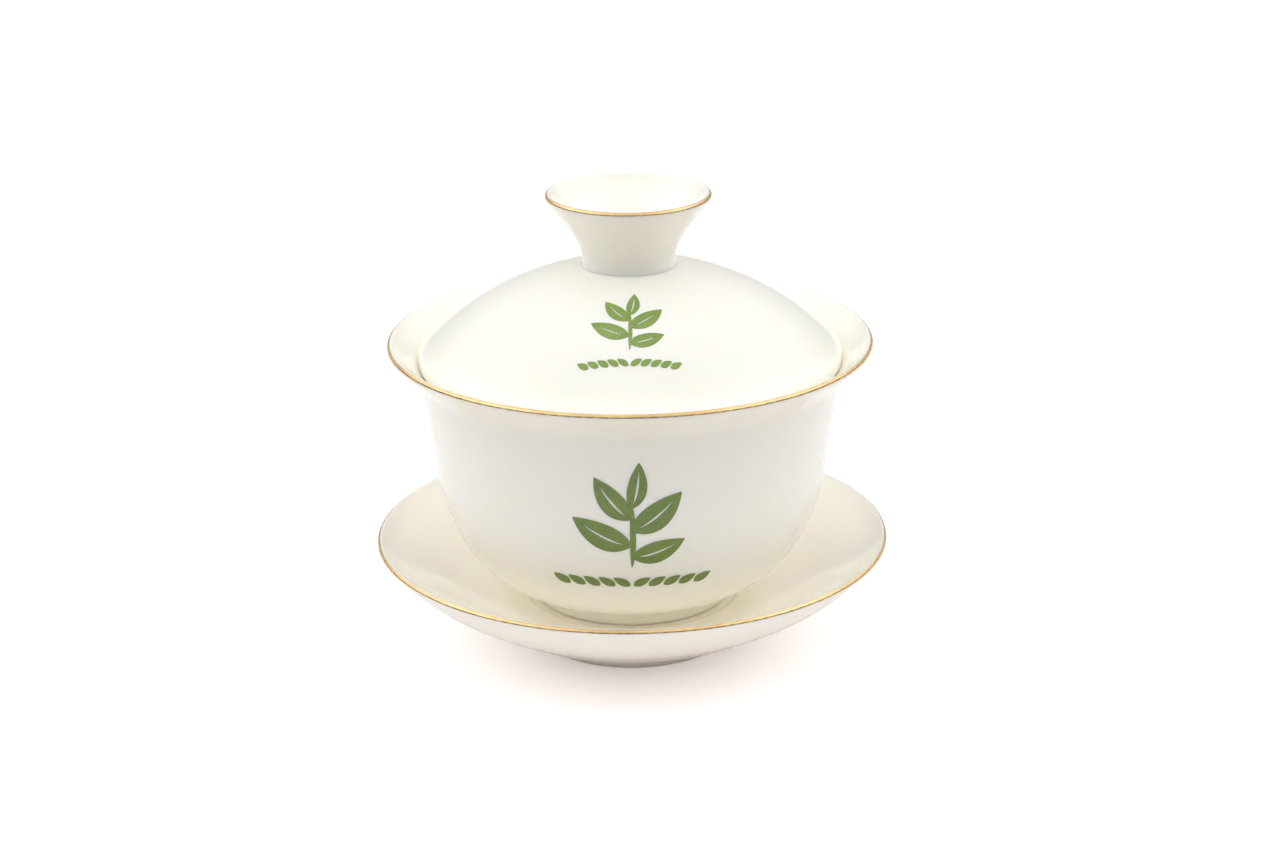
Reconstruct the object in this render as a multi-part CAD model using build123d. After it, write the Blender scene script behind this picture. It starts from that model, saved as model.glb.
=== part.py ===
from build123d import *
import os
from collections import namedtuple
from math import copysign, cos, radians, sin

# Gaiwan: a lidded porcelain tea bowl on a saucer. Three lips are gilt, and a green tea sprig is
# printed on the front of the bowl and on the front of the lid.
#
# Millimetres. +Z is up and -Y is the front. The origin is the centre of the saucer's foot, on the
# table, and every height is measured from the table with the set put together. The outlines of
# the round pieces are drawn as (radius, height) and turned about Z. Angles are in degrees.

# A lip is the full-round edge of a wall. lean is the wall's angle above the horizontal there.
Lip = namedtuple("Lip", "centre rounding lean")

# A foot ring: the corner where the belly meets it, the belly's angle there, the ring's flat base
# (height, outer radius and width), and the recess inside it (radius and height of its ceiling).
Foot = namedtuple("Foot", "corner slope base base_radius base_width recess_radius ceiling")

# A leaf on a stem: height of its stalk on the stem, angle from upright, length and width.
Leaf = namedtuple("Leaf", "stalk angle length width")

# Number of steps between the points of a spline that follows a circle
ROUND_STEPS = 4

# Saucer
SAUCER_LIP = Lip((53.45, 22.45), 0.65, 44.5)
SAUCER_OUTSIDE = [(46.6, 15.0), (35.4, 8.0)]
SAUCER_FOOT = Foot((21.7, 1.9), 17, 0, 21.1, 2.2, 18.4, 5.2)
SAUCER_INSIDE = [(27.5, 10.3), (36.0, 12.8), (45.3, 17.7)]
WELL_FLOOR = 9.45
WELL_RADIUS = 22.2
WELL_RIM_RADIUS = 23.1
PLATEAU = (24.6, 9.95)

# Bowl
FOOT_GAP = 0.02
BOWL_LIP = Lip((49.7, 65.45), 0.7, 52)
BOWL_OUTSIDE = [
    (45.6, 60.0), (42.8, 52.0), (41.2, 40.0), (39.6, 32.0), (37.2, 26.0), (33.5, 20.0), (29.1, 15.9)
]
BOWL_FOOT = Foot((21.4, 13.0), 9, WELL_FLOOR + FOOT_GAP, 20.6, 2.1, 18.2, 12.2)
BOWL_FLOOR = 15.6
BOWL_INSIDE = [
    (16.0, 15.7), (24.0, 17.4), (29.8, 20.7), (34.9, 27.3), (38.9, 38.5), (40.75, 52.3), (43.76, 61.0)
]

# Foot rings
FOOT_EDGE_ROUND = 0.5
FOOT_BLEND = 0.7

# Lid dome: its rounded edge rests on the slope inside the bowl's lip
DOME_TOP = 82.45
DOME_OUTSIDE = [(11.0, 81.45), (22.5, 78.1), (33.5, 72.6)]
DOME_SLOPE = -43
DOME_WALL = 2.2
LID_RADIUS = 43.95
LID_SHOULDER = 64.2
SHOULDER_ROUND = 1.5
LID_EDGE_HEIGHT = 61.72

# Lid knob: an open funnel joined to the top of the dome
KNOB_LIP = Lip((16.45, 96.15), 0.65, 54)
KNOB_OUTSIDE = [(14.5, 92.5), (11.0, 87.5), (9.7, 83.0)]
KNOB_FOOT = (10.0, 81.2)
KNOB_FLOOR = 84.2
KNOB_INSIDE = [(4.5, 84.35), (7.2, 85.5), (9.3, 88.3), (12.5, 92.4)]

# Gold bands: each fills a shallow groove round a lip, between two angles about the lip's centre
GILT_THICKNESS = 0.12
GILT_START = 4
GILT_END = 80

# Prints: a sprig, and below it a row of small leaves, drawn in the millimetres of the bowl's print.
# BLADE_LOW and BLADE_HIGH steer a leaf's edge: shares of its width and of its length.
PRINT_THICKNESS = 0.08
PRINT_REACH = 100
STEM_HEIGHT = 16.5
STEM_WIDTH = 1.3
STEM_BOW = 0.4
SPRIG = [
    Leaf(2.6, 70, 11.2, 5.2),
    Leaf(5.2, -62, 13.2, 6.0),
    Leaf(8.6, 50, 13.0, 6.0),
    Leaf(11.2, -38, 11.8, 5.4),
    Leaf(13.6, 9, 10.4, 4.2),
]
LEAF_BOW = 0.16
BLADE_LOW = (0.68, 0.2)
BLADE_HIGH = (0.56, 0.66)
MIDRIB_WIDTH = 0.5
MIDRIB_START = 0.11
MIDRIB_SHARE = 0.72
ROW_HALF_COUNT = 5
ROW_PITCH = 3.0
ROW_GAP = 2.0
ROW_LEAN = 58
ROW_LEAF_LENGTH = 4.0
ROW_LEAF_WIDTH = 2.0

# Places of the prints: heights on the bowl, and distances forward of the axis on the lid
BOWL_SPRIG_FOOT = 30.0
BOWL_ROW_HEIGHT = 26.4
LID_PRINT_SIZE = 0.65
LID_SPRIG_FOOT = -32.4
LID_ROW_MIDDLE = -34.9


def polar(centre, length, angle):
    """Point at a length and an angle from a centre."""
    return centre[0] + length * cos(radians(angle)), centre[1] + length * sin(radians(angle))


def sweep(points, start_angle, end_angle):
    """Smooth curve through points, with the given headings at its ends."""
    headings = (polar((0, 0), 1, start_angle), polar((0, 0), 1, end_angle))
    return Spline(*points, tangents=headings, tangent_scalars=(1, 1))


def round_over(centre, radius, start, end):
    """Round stretch of an outline between two angles, drawn as a spline."""
    step = (end - start) / ROUND_STEPS
    points = [polar(centre, radius, start + step * index) for index in range(ROUND_STEPS + 1)]
    ahead = copysign(90, end - start)
    return sweep(points, start + ahead, end + ahead)


def rounded_run(corners, radii):
    """Straight stretches of an outline, with rounded corners that are drawn as splines."""
    edges = []
    for edge in FilletPolyline(*corners, radius=radii).edges():
        if edge.geom_type == GeomType.CIRCLE:
            points = [edge.position_at(index / ROUND_STEPS) for index in range(ROUND_STEPS + 1)]
            headings = (edge.tangent_at(0), edge.tangent_at(1))
            edge = Spline(*points, tangents=headings, tangent_scalars=(1, 1))
        edges.append(edge)
    return edges


def turned(edges):
    """Solid turned about Z from a closed outline of edges."""
    return revolve(Plane.XZ * make_face(edges), Axis.Z)


def lip_outer(lip):
    return polar(lip.centre, lip.rounding, lip.lean - 90)


def lip_inner(lip):
    return polar(lip.centre, lip.rounding, lip.lean + 90)


def gilt_groove(lip):
    """Groove for the gold band, with its two end walls."""
    floor = lip.rounding - GILT_THICKNESS
    walls = []
    for angle in (GILT_START, GILT_END):
        walls.append(Line(polar(lip.centre, lip.rounding, angle), polar(lip.centre, floor, angle)))
    return [*walls, round_over(lip.centre, floor, GILT_START, GILT_END)]


def lip_edge(lip):
    """Full round from the outside of the wall over the lip to its inside, with the groove."""
    below = round_over(lip.centre, lip.rounding, lip.lean - 90, GILT_START)
    above = round_over(lip.centre, lip.rounding, GILT_END, lip.lean + 90)
    return [below, *gilt_groove(lip), above]


def make_gold_rim(lip):
    """Gold band that fills the groove, level with the glaze."""
    return turned([*gilt_groove(lip), round_over(lip.centre, lip.rounding, GILT_START, GILT_END)])


def belly_end(foot):
    """Point where the belly's curve ends and its blend into the foot ring begins."""
    return polar(foot.corner, 2 * FOOT_BLEND, foot.slope)


def belly(lip, outside, foot):
    """Outside of a bowl or dish, from its lip down to its foot ring."""
    points = [lip_outer(lip), *outside, belly_end(foot)]
    return sweep(points, lip.lean + 180, foot.slope + 180)


def foot_ring(foot):
    """Underside, from the end of the belly round the foot ring to the axis."""
    corners = [
        belly_end(foot),
        foot.corner,
        (foot.base_radius, foot.base),
        (foot.base_radius - foot.base_width, foot.base),
        (foot.recess_radius, foot.ceiling),
        (0, foot.ceiling),
    ]
    return rounded_run(corners, [FOOT_BLEND, FOOT_EDGE_ROUND, FOOT_EDGE_ROUND, FOOT_BLEND])


def make_saucer():
    well_corners = [(0, WELL_FLOOR), (WELL_RADIUS, WELL_FLOOR), (WELL_RIM_RADIUS, PLATEAU[1]), PLATEAU]
    well = rounded_run(well_corners, [FOOT_BLEND, FOOT_BLEND])
    inside = sweep([PLATEAU, *SAUCER_INSIDE, lip_inner(SAUCER_LIP)], 0, SAUCER_LIP.lean)
    axis = Line((0, SAUCER_FOOT.ceiling), (0, WELL_FLOOR))
    outside = belly(SAUCER_LIP, SAUCER_OUTSIDE, SAUCER_FOOT)
    return turned([outside, *foot_ring(SAUCER_FOOT), axis, *well, inside, *lip_edge(SAUCER_LIP)])


def bowl_belly():
    return belly(BOWL_LIP, BOWL_OUTSIDE, BOWL_FOOT)


def make_bowl():
    inside = sweep([(0, BOWL_FLOOR), *BOWL_INSIDE, lip_inner(BOWL_LIP)], 0, BOWL_LIP.lean)
    axis = Line((0, BOWL_FOOT.ceiling), (0, BOWL_FLOOR))
    return turned([bowl_belly(), *foot_ring(BOWL_FOOT), axis, inside, *lip_edge(BOWL_LIP)])


def shoulder_start():
    """Point where the dome's curve ends and its straight run to the shoulder begins."""
    return polar((LID_RADIUS, LID_SHOULDER), -2 * SHOULDER_ROUND, DOME_SLOPE)


def dome_outside():
    return sweep([(0, DOME_TOP), *DOME_OUTSIDE, shoulder_start()], 0, DOME_SLOPE)


def inset(curve, share, depth):
    """Point below a curve that runs outwards, at a share of the way along it."""
    point = curve.position_at(share)
    heading = curve.tangent_at(share)
    return point.X + depth * heading.Y, point.Y - depth * heading.X


def make_lid_dome():
    outside = dome_outside()
    corners = [shoulder_start(), (LID_RADIUS, LID_SHOULDER), (LID_RADIUS, LID_EDGE_HEIGHT)]
    shoulder = rounded_run(corners, [SHOULDER_ROUND])
    half_wall = DOME_WALL / 2
    edge_centre = (LID_RADIUS - half_wall, LID_EDGE_HEIGHT)
    edge = round_over(edge_centre, half_wall, 0, -180)
    under = [inset(outside, share, DOME_WALL) for share in (0, 0.25, 0.5, 0.75, 1)]
    inside = sweep([*under, polar(edge_centre, half_wall, 180)], 0, -88)
    axis = Line((0, DOME_TOP - DOME_WALL), (0, DOME_TOP))
    return turned([outside, *shoulder, edge, inside, axis])


def make_lid_knob(lid_dome):
    """Funnel whose base is cut to the top of the dome."""
    outside = sweep([lip_outer(KNOB_LIP), *KNOB_OUTSIDE, KNOB_FOOT], KNOB_LIP.lean + 180, -75)
    inside = sweep([(0, KNOB_FLOOR), *KNOB_INSIDE, lip_inner(KNOB_LIP)], 0, KNOB_LIP.lean)
    base = Line(KNOB_FOOT, (0, KNOB_FOOT[1]))
    axis = Line((0, KNOB_FOOT[1]), (0, KNOB_FLOOR))
    return turned([outside, base, axis, inside, *lip_edge(KNOB_LIP)]) - lid_dome


def blade(length, width, bow=0):
    """Leaf outline that stands on the origin, pointed at both ends and bowed sideways."""
    sides = []
    for reach in (-width, width):
        low, high = [(bow + out * reach, up * length) for out, up in (BLADE_LOW, BLADE_HIGH)]
        sides.append(Bezier((0, 0), low, high, (0, length)))
    return make_face(sides)


def leaf_shape(leaf):
    """Leaf at its place on the stem, with a slit along its middle for the midrib."""
    bow = copysign(LEAF_BOW * leaf.width, leaf.angle)
    midrib_foot = Pos(bow * (1 - MIDRIB_SHARE), MIDRIB_START * leaf.length)
    midrib = midrib_foot * blade(MIDRIB_SHARE * leaf.length, MIDRIB_WIDTH, bow * MIDRIB_SHARE)
    outline = blade(leaf.length, leaf.width, bow)
    return Pos(0, leaf.stalk) * Rot(0, 0, -leaf.angle) * (outline - midrib)


def sprig():
    """Sprig of tea: a stem with leaves and a bud, and the foot of the stem on the origin."""
    return blade(STEM_HEIGHT, STEM_WIDTH, STEM_BOW) + [leaf_shape(leaf) for leaf in SPRIG]


def leaf_row():
    """Row of small leaves, centred on the origin, whose tips point away from the middle."""
    small_leaf = Pos(0, -ROW_LEAF_LENGTH / 2) * blade(ROW_LEAF_LENGTH, ROW_LEAF_WIDTH)
    leaves = []
    for side in (-1, 1):
        for index in range(ROW_HALF_COUNT):
            place = side * (ROW_GAP + index * ROW_PITCH)
            leaves.append(Pos(place, 0) * Rot(0, 0, -side * ROW_LEAN) * small_leaf)
    return Sketch() + leaves


def motif(sprig_foot, row_middle, size):
    """Sprig with the row below it, at heights up the plane that it is drawn on."""
    return Pos(0, sprig_foot) * scale(sprig(), size) + Pos(0, row_middle) * scale(leaf_row(), size)


def print_layer(curve, shift):
    """Thin layer over a turned curve, between the curve and a copy moved outwards."""
    over = Pos(*shift) * curve
    return turned([curve, over, Line(curve @ 0, over @ 0), Line(curve @ 1, over @ 1)])


def make_bowl_print():
    """Motif seen from the front, on the front of the belly."""
    drawn = Plane.XZ * motif(BOWL_SPRIG_FOOT, BOWL_ROW_HEIGHT, 1)
    return extrude(drawn, PRINT_REACH) & print_layer(bowl_belly(), (PRINT_THICKNESS, 0))


def make_lid_print():
    """Motif seen from above, on the front of the dome."""
    drawn = motif(LID_SPRIG_FOOT, LID_ROW_MIDDLE, LID_PRINT_SIZE)
    return extrude(drawn, PRINT_REACH) & print_layer(dome_outside(), (0, PRINT_THICKNESS))


def make_pieces():
    lid_dome = make_lid_dome()
    return {
        "saucer": make_saucer(),
        "saucer_gold_rim": make_gold_rim(SAUCER_LIP),
        "bowl": make_bowl(),
        "bowl_gold_rim": make_gold_rim(BOWL_LIP),
        "bowl_leaf_print": make_bowl_print(),
        "lid_dome": lid_dome,
        "lid_knob": make_lid_knob(lid_dome),
        "knob_gold_rim": make_gold_rim(KNOB_LIP),
        "lid_leaf_print": make_lid_print(),
    }


os.makedirs("parts", exist_ok=True)
for node, piece in make_pieces().items():
    export_step(piece, f"parts/{node}.step")
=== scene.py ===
# Looks of the gaiwan: ivory bone china under a clear glaze, burnished gold on three lips, and a
# green leaf print. Every visible piece is a CAD node; this script gives each one its material, and
# adds the floor, the studio light and the camera. Lengths are in metres unless a name says so.

from math import cos, radians, sin

import bpy
from mathutils import Matrix, Vector


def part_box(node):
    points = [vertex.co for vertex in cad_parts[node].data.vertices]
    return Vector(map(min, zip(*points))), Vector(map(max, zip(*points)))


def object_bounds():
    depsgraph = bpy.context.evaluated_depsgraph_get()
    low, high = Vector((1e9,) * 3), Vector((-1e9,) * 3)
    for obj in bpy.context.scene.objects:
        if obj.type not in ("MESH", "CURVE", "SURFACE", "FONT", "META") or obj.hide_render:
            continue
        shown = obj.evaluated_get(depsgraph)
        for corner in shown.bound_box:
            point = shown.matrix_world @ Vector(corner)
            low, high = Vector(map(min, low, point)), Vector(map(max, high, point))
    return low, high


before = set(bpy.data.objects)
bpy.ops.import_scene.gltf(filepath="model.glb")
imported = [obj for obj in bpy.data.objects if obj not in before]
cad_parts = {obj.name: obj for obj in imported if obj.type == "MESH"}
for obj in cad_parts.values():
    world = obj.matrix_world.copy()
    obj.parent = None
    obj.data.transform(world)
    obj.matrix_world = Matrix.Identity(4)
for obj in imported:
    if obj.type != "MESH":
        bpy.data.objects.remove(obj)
cad_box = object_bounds()

MM = 0.001

# Colours, scene-linear
IVORY = (0.958, 0.930, 0.855)
IVORY_WARM = (0.952, 0.914, 0.818)
BISCUIT = (0.800, 0.740, 0.640)
GOLD = (0.85, 0.60, 0.30)
GOLD_DEEP = (0.52, 0.32, 0.15)
GREEN = (0.190, 0.285, 0.055)
GREEN_DARK = (0.140, 0.220, 0.034)
FLOOR_WHITE = (0.93, 0.905, 0.915)
FLOOR_DARK = (0.20, 0.19, 0.19)

# Light of the tent. The first two hold the brightness towards the front, back, left and right, near
# the horizon and half-way up; the third is overhead.
LOW_LIGHT = (0.08, 0.52, 0.15, 0.15)
MID_LIGHT = (0.92, 0.80, 2.15, 2.05)
TOP_LIGHT = 1.10

# Brightness that only the camera sees: a lift on the floor, and the white behind it
FLOOR_LIFT = 0.26
SEEN_WHITE = 1.2

# Sines of the heights where one part of the tent fades into the next
LOW_TO_MID = (0.15, 0.55)
MID_TO_TOP = (0.70, 0.97)

# Floor: half its width, where its light on the set fades out in front, and its gap below the foot
FLOOR_HALF = 6.0
FLOOR_FADE = (-0.24, -0.11)
FLOOR_DROP = 0.02 * MM
FLOOR_ROUGHNESS = 0.9

# Light paths long enough for the white creases to glow
MAX_BOUNCES = 16
DIFFUSE_BOUNCES = 14

# Pattern scales, in features per metre or so
RIPPLES = 55.0
MOTTLE = 900.0
ORANGE_PEEL = 700.0
PIMPLE_CELLS = 230.0
GOLD_STREAKS = 5200.0
GOLD_PATCHES = 160.0
INK_CLOUDS = 260.0
INK_GRAIN = 4200.0

# Heights of the surface patterns, each cut down further by its own strength
RIPPLE_HEIGHT = 0.10 * MM
PEEL_HEIGHT = 0.012 * MM
PIMPLE_HEIGHT = 0.03 * MM
STREAK_HEIGHT = 0.01 * MM
GRAIN_HEIGHT = 0.006 * MM

# Roughness of each surface, from its smoothest to its roughest
GLAZE_ROUGHNESS = (0.07, 0.11)
GOLD_ROUGHNESS = (0.20, 0.34)
INK_ROUGHNESS = (0.16, 0.28)

# Share of the cells that hold no pimple, and how far a pimple's slope reaches in its cell
PIMPLE_RARITY = (0.78, 0.80)
PIMPLE_REACH = (0.03, 0.10)

# Glaze, bare biscuit and ink
GLAZE_IOR = 1.52
GLAZE_DEPTH = 2.2 * MM
GLAZE_DEPTH_BY_COLOUR = (1.0, 0.75, 0.45)
GLAZE_SOFTNESS = 0.35
BARE_ROUGHNESS = 0.75
BARE_FROM_FOOT = 0.35 * MM
BARE_FADE = 0.25 * MM
NEVER_BARE = -1.0
INK_IOR = 1.5
# The bowl's print is darkened, partly as painted shade, and the lid's print lightened, partly as painted
# light; the rest is the lid's thinner ink.
BOWL_INK_AND_PAINTED_SHADE = 0.88
LID_INK_AND_PAINTED_LIGHT = 1.18

# Metres of gold pattern for each radian round the ring, so few that the streaks run long
STREAK_STRETCH = 0.004

# Camera: its place from the set's axis and from the table, its tilts in degrees, and its lens
CAMERA_DISTANCE = 0.5175
CAMERA_HEIGHT = 0.230
CAMERA_SIDE = 0.0019
PITCH = 19.574
ROLL = -0.6
LENS_MM = 73.42
SENSOR_MM = 36.0
NEAREST = 0.01


# ---------------------------------------------------------------- node helpers

class Nodes:
    """Short-hand for building one node tree."""

    def __init__(self, tree):
        self.tree = tree
        tree.nodes.clear()

    def add(self, kind, **inputs):
        """New node, with values or sockets for its inputs by name; an underscore is a space."""
        node = self.tree.nodes.new(kind)
        for name, value in inputs.items():
            self.feed(node, name.replace("_", " "), value)
        return node

    def feed(self, node, name, value):
        socket = node.inputs[int(name)] if name.isdigit() else node.inputs[name]
        if isinstance(value, bpy.types.NodeSocket):
            self.tree.links.new(value, socket)
        elif isinstance(value, tuple) and len(value) == 3 and socket.type == "RGBA":
            socket.default_value = (*value, 1.0)
        else:
            socket.default_value = value

    def math(self, operation, *values):
        node = self.tree.nodes.new("ShaderNodeMath")
        node.operation = operation
        for index, value in enumerate(values):
            self.feed(node, str(index), value)
        return node.outputs[0]

    def mix(self, share, low, high):
        """Colour between low and high; a colour mix has its share at 0 and its colours at 6 and 7."""
        node = self.tree.nodes.new("ShaderNodeMix")
        node.data_type = "RGBA"
        self.feed(node, "0", share)
        self.feed(node, "6", low)
        self.feed(node, "7", high)
        return node.outputs[2]

    def span(self, value, low, high, out_low=0.0, out_high=1.0):
        """Smooth step of value from low to high, mapped on to out_low to out_high."""
        node = self.tree.nodes.new("ShaderNodeMapRange")
        node.interpolation_type = "SMOOTHSTEP"
        for index, item in enumerate((value, low, high, out_low, out_high)):
            self.feed(node, str(index), item)
        return node.outputs[0]

    def noise(self, vector, scale, detail=2.0, rough=0.5):
        node = self.add("ShaderNodeTexNoise", Vector=vector, Scale=scale, Detail=detail, Roughness=rough)
        return node.outputs["Fac"]


def new_material(name):
    material = bpy.data.materials.new(name)
    material.use_nodes = True
    nodes = Nodes(material.node_tree)
    output = nodes.add("ShaderNodeOutputMaterial")
    shader = nodes.add("ShaderNodeBsdfPrincipled")
    nodes.tree.links.new(shader.outputs[0], output.inputs["Surface"])
    where = nodes.add("ShaderNodeTexCoord").outputs["Object"]
    return material, nodes, shader, where


def bump(nodes, height, distance, strength, normal=None):
    node = nodes.add("ShaderNodeBump", Height=height, Distance=distance, Strength=strength)
    if normal is not None:
        nodes.feed(node, "Normal", normal)
    return node.outputs[0]


# ---------------------------------------------------------------- materials

def porcelain(name, foot_height):
    """Ivory bone china under clear glaze, with faint waves and a few pimples in the glaze.

    Below foot_height, the flat of a foot ring is bare.
    """
    material, nodes, shader, where = new_material(name)
    height = nodes.add("ShaderNodeSeparateXYZ", Vector=where).outputs["Z"]
    ripple = nodes.noise(where, RIPPLES)
    mottle = nodes.noise(where, MOTTLE, 3.0, 0.6)
    peel = nodes.noise(where, ORANGE_PEEL)
    body = nodes.mix(nodes.span(ripple, 0.35, 0.7, 0.0, 0.35), IVORY, IVORY_WARM)
    body = nodes.mix(nodes.span(mottle, 0.55, 0.8, 0.0, 0.06), body, BISCUIT)
    bare = nodes.span(height, foot_height, foot_height + BARE_FADE, 1.0, 0.0)
    shade = nodes.mix(bare, body, BISCUIT)
    gloss = nodes.span(ripple, 0.3, 0.7, *GLAZE_ROUGHNESS)
    rough = nodes.math("MAXIMUM", gloss, nodes.math("MULTIPLY", bare, BARE_ROUGHNESS))
    cells = nodes.add("ShaderNodeTexVoronoi", Vector=where, Scale=PIMPLE_CELLS)
    lot = nodes.add("ShaderNodeSeparateColor", Color=cells.outputs["Color"]).outputs[0]
    rare = nodes.span(lot, *PIMPLE_RARITY)
    mound = nodes.span(cells.outputs["Distance"], *PIMPLE_REACH, 1.0, 0.0)
    pimple = nodes.math("MULTIPLY", rare, mound)
    normal = bump(nodes, ripple, RIPPLE_HEIGHT, 0.35)
    normal = bump(nodes, peel, PEEL_HEIGHT, 0.25, normal)
    normal = bump(nodes, pimple, PIMPLE_HEIGHT, 0.5, normal)
    nodes.feed(shader, "Base Color", shade)
    nodes.feed(shader, "Roughness", rough)
    nodes.feed(shader, "IOR", GLAZE_IOR)
    nodes.feed(shader, "Normal", normal)
    nodes.feed(shader, "Subsurface Weight", GLAZE_SOFTNESS)
    nodes.feed(shader, "Subsurface Radius", Vector(GLAZE_DEPTH_BY_COLOUR))
    nodes.feed(shader, "Subsurface Scale", GLAZE_DEPTH)
    return material


def gold(name):
    """Thin gold, burnished round the lip, so its streaks run round the ring."""
    material, nodes, shader, where = new_material(name)
    x, y, z = nodes.add("ShaderNodeSeparateXYZ", Vector=where).outputs
    square = nodes.math("ADD", nodes.math("MULTIPLY", x, x), nodes.math("MULTIPLY", y, y))
    radius = nodes.math("SQRT", square)
    around = nodes.math("MULTIPLY", nodes.math("ARCTAN2", y, x), STREAK_STRETCH)
    lathe = nodes.add("ShaderNodeCombineXYZ", X=around, Y=radius, Z=z).outputs[0]
    streaks = nodes.noise(lathe, GOLD_STREAKS, 2.0, 0.6)
    patches = nodes.noise(where, GOLD_PATCHES, 3.0, 0.6)
    colour = nodes.mix(nodes.span(patches, 0.35, 0.75, 0.0, 0.45), GOLD, GOLD_DEEP)
    nodes.feed(shader, "Base Color", colour)
    nodes.feed(shader, "Metallic", 1.0)
    nodes.feed(shader, "Roughness", nodes.span(streaks, 0.3, 0.7, *GOLD_ROUGHNESS))
    nodes.feed(shader, "Normal", bump(nodes, streaks, STREAK_HEIGHT, 0.5))
    return material


def green_print(name, brightness):
    """Ceramic ink, a little uneven, sunk in the glaze."""
    material, nodes, shader, where = new_material(name)
    cloud = nodes.noise(where, INK_CLOUDS, 3.0, 0.6)
    grain = nodes.noise(where, INK_GRAIN, 2.0, 0.6)
    colour = nodes.mix(nodes.span(cloud, 0.35, 0.7, 0.0, 0.7), GREEN, GREEN_DARK)
    colour = nodes.mix(nodes.span(grain, 0.5, 0.8, 0.0, 0.15), colour, IVORY_WARM)
    # brightness darkens the bowl's print with painted shade and lightens the lid's print with painted
    # light, besides the lid's thinner ink
    toned = nodes.add("ShaderNodeHueSaturation", Color=colour, Value=brightness).outputs[0]
    nodes.feed(shader, "Base Color", toned)
    nodes.feed(shader, "Roughness", nodes.span(grain, 0.3, 0.7, *INK_ROUGHNESS))
    nodes.feed(shader, "IOR", INK_IOR)
    nodes.feed(shader, "Normal", bump(nodes, grain, GRAIN_HEIGHT, 0.4))
    return material


def paint(node, material):
    """Gives a CAD node its finished material."""
    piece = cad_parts[node]
    piece.data.materials.clear()
    piece.data.materials.append(material)


def foot_of(node):
    """Height just above the flat of a piece's foot ring."""
    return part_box(node)[0].z + BARE_FROM_FOOT


glaze_on_lid = porcelain("porcelain_lid", NEVER_BARE)
paint("saucer", porcelain("porcelain_saucer", foot_of("saucer")))
paint("bowl", porcelain("porcelain_bowl", foot_of("bowl")))
for node in ("lid_dome", "lid_knob"):
    paint(node, glaze_on_lid)
burnished_gold = gold("burnished_gold")
for node in ("saucer_gold_rim", "bowl_gold_rim", "knob_gold_rim"):
    paint(node, burnished_gold)
# The bowl's print gets painted shade and the lid's print painted light, on top of their ink
paint("bowl_leaf_print", green_print("leaf_green_bowl", BOWL_INK_AND_PAINTED_SHADE))
paint("lid_leaf_print", green_print("leaf_green_lid", LID_INK_AND_PAINTED_LIGHT))


# ---------------------------------------------------------------- floor and light

def make_floor():
    """Plain pale floor, far wider than the picture.

    The camera sees it white and a little lifted, like a lit table. What it throws on to the set
    fades out in front, which stands in for a dark room on the camera's side.
    """
    half = FLOOR_HALF
    mesh = bpy.data.meshes.new("floor")
    corners = [(-half, -half, 0), (half, -half, 0), (half, half, 0), (-half, half, 0)]
    mesh.from_pydata(corners, [], [(0, 1, 2, 3)])
    floor = bpy.data.objects.new("floor", mesh)
    bpy.context.scene.collection.objects.link(floor)
    floor.location.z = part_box("saucer")[0].z - FLOOR_DROP
    material, nodes, shader, where = new_material("floor_white")
    camera_ray = nodes.add("ShaderNodeLightPath").outputs["Is Camera Ray"]
    forward = nodes.add("ShaderNodeSeparateXYZ", Vector=where).outputs["Y"]
    bounce = nodes.mix(nodes.span(forward, *FLOOR_FADE), FLOOR_DARK, FLOOR_WHITE)
    nodes.feed(shader, "Base Color", nodes.mix(camera_ray, bounce, FLOOR_WHITE))
    nodes.feed(shader, "Roughness", FLOOR_ROUGHNESS)
    nodes.feed(shader, "Specular IOR Level", 0.0)
    nodes.feed(shader, "Emission Color", (1.0, 1.0, 1.0))
    nodes.feed(shader, "Emission Strength", nodes.math("MULTIPLY", camera_ray, FLOOR_LIFT))
    mesh.materials.append(material)


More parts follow.
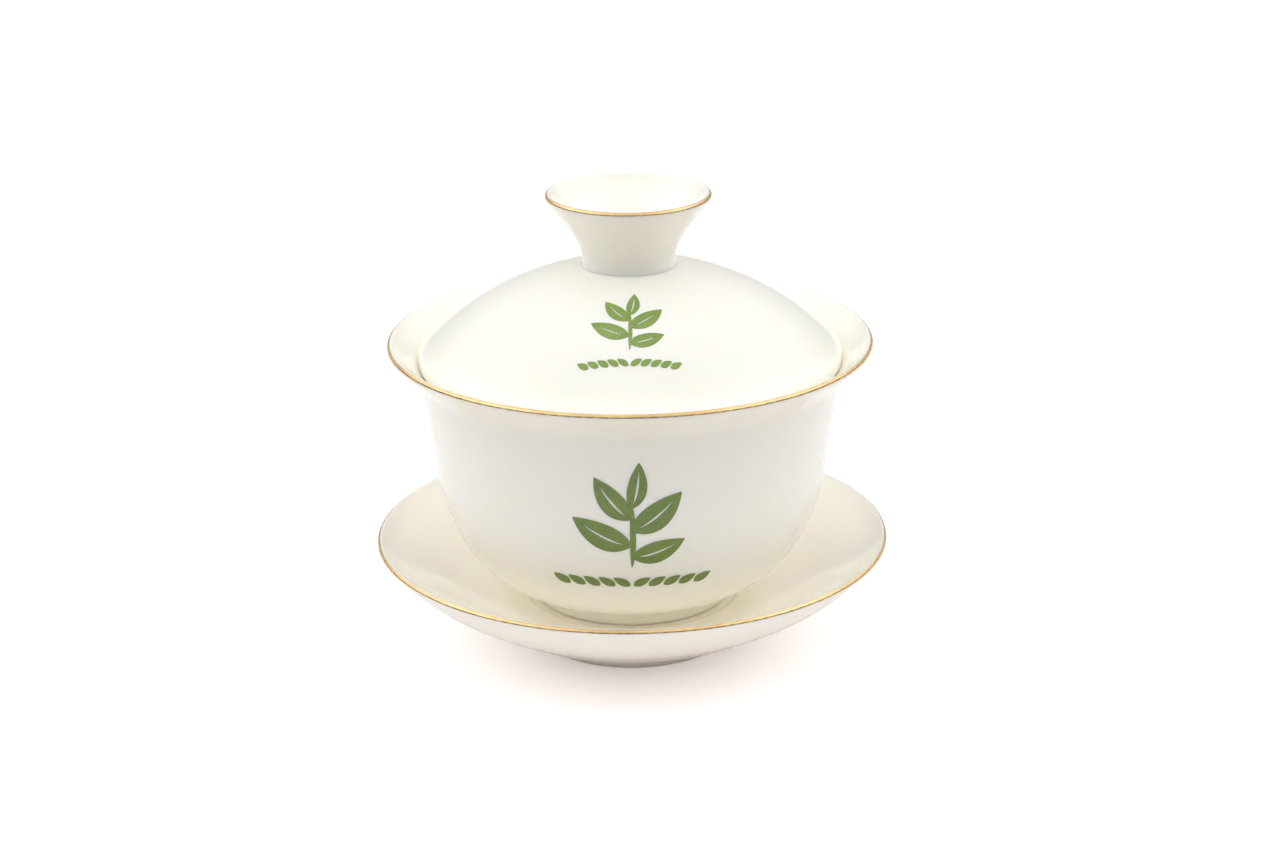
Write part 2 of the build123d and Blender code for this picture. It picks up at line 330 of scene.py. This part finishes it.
def make_world():
    """Light tent whose brightness changes with the direction, and is plain white where it is seen."""
    world = bpy.data.worlds.new("light_tent")
    world.use_nodes = True
    bpy.context.scene.world = world
    nodes = Nodes(world.node_tree)
    way = nodes.add("ShaderNodeSeparateXYZ", Vector=nodes.add("ShaderNodeTexCoord").outputs["Generated"])
    x, y, up = way.outputs["X"], way.outputs["Y"], way.outputs["Z"]
    # Just over one, so that nothing is divided by zero straight up
    spread = nodes.math("SUBTRACT", 1.0001, nodes.math("MULTIPLY", up, up))
    shares = []
    for part, sign in ((y, -1.0), (y, 1.0), (x, -1.0), (x, 1.0)):
        ahead = nodes.math("MAXIMUM", nodes.math("MULTIPLY", part, sign), 0.0)
        shares.append(nodes.math("DIVIDE", nodes.math("MULTIPLY", ahead, ahead), spread))

    def ring(brightness):
        """Brightness round the horizon."""
        total = 0.0
        for share, value in zip(shares, brightness):
            total = nodes.math("MULTIPLY_ADD", share, value, total)
        return total

    above_low = nodes.span(up, *LOW_TO_MID)
    above_mid = nodes.span(up, *MID_TO_TOP)
    low = nodes.math("MULTIPLY", nodes.math("SUBTRACT", 1.0, above_low), ring(LOW_LIGHT))
    mid = nodes.math("MULTIPLY", nodes.math("SUBTRACT", above_low, above_mid), ring(MID_LIGHT))
    glow = nodes.math("MULTIPLY_ADD", above_mid, TOP_LIGHT, nodes.math("ADD", low, mid))
    lamp = nodes.add("ShaderNodeBackground", Color=(1.0, 1.0, 1.0), Strength=glow)
    seen = nodes.add("ShaderNodeBackground", Color=(1.0, 1.0, 1.0), Strength=SEEN_WHITE)
    camera_ray = nodes.add("ShaderNodeLightPath").outputs["Is Camera Ray"]
    both = nodes.tree.nodes.new("ShaderNodeMixShader")
    nodes.feed(both, "0", camera_ray)
    nodes.feed(both, "1", lamp.outputs[0])
    nodes.feed(both, "2", seen.outputs[0])
    output = nodes.add("ShaderNodeOutputWorld")
    nodes.tree.links.new(both.outputs[0], output.inputs["Surface"])


make_floor()
make_world()
bpy.context.scene.cycles.max_bounces = MAX_BOUNCES
bpy.context.scene.cycles.diffuse_bounces = DIFFUSE_BOUNCES


# ---------------------------------------------------------------- camera

def make_camera():
    """Stands in front of the set, looks down at it a little, and leans a little to its own right."""
    data = bpy.data.cameras.new("camera")
    data.lens = LENS_MM
    data.sensor_width = SENSOR_MM
    camera = bpy.data.objects.new("camera", data)
    pitch, roll = radians(PITCH), radians(ROLL)
    ahead = Vector((0, cos(pitch), -sin(pitch)))
    right = Vector((1, 0, 0))
    up = Vector((0, sin(pitch), cos(pitch)))
    leaned_right = right * cos(roll) + up * sin(roll)
    leaned_up = up * cos(roll) - right * sin(roll)
    turn = Matrix((leaned_right, leaned_up, -ahead)).transposed().to_4x4()
    place = Vector((CAMERA_SIDE, -CAMERA_DISTANCE, CAMERA_HEIGHT + cad_box[0].z))
    camera.matrix_world = Matrix.Translation(place) @ turn
    data.clip_start = NEAREST
    bpy.context.scene.collection.objects.link(camera)
    bpy.context.scene.camera = camera


make_camera()
bpy.context.scene.view_settings.view_transform = "Standard"
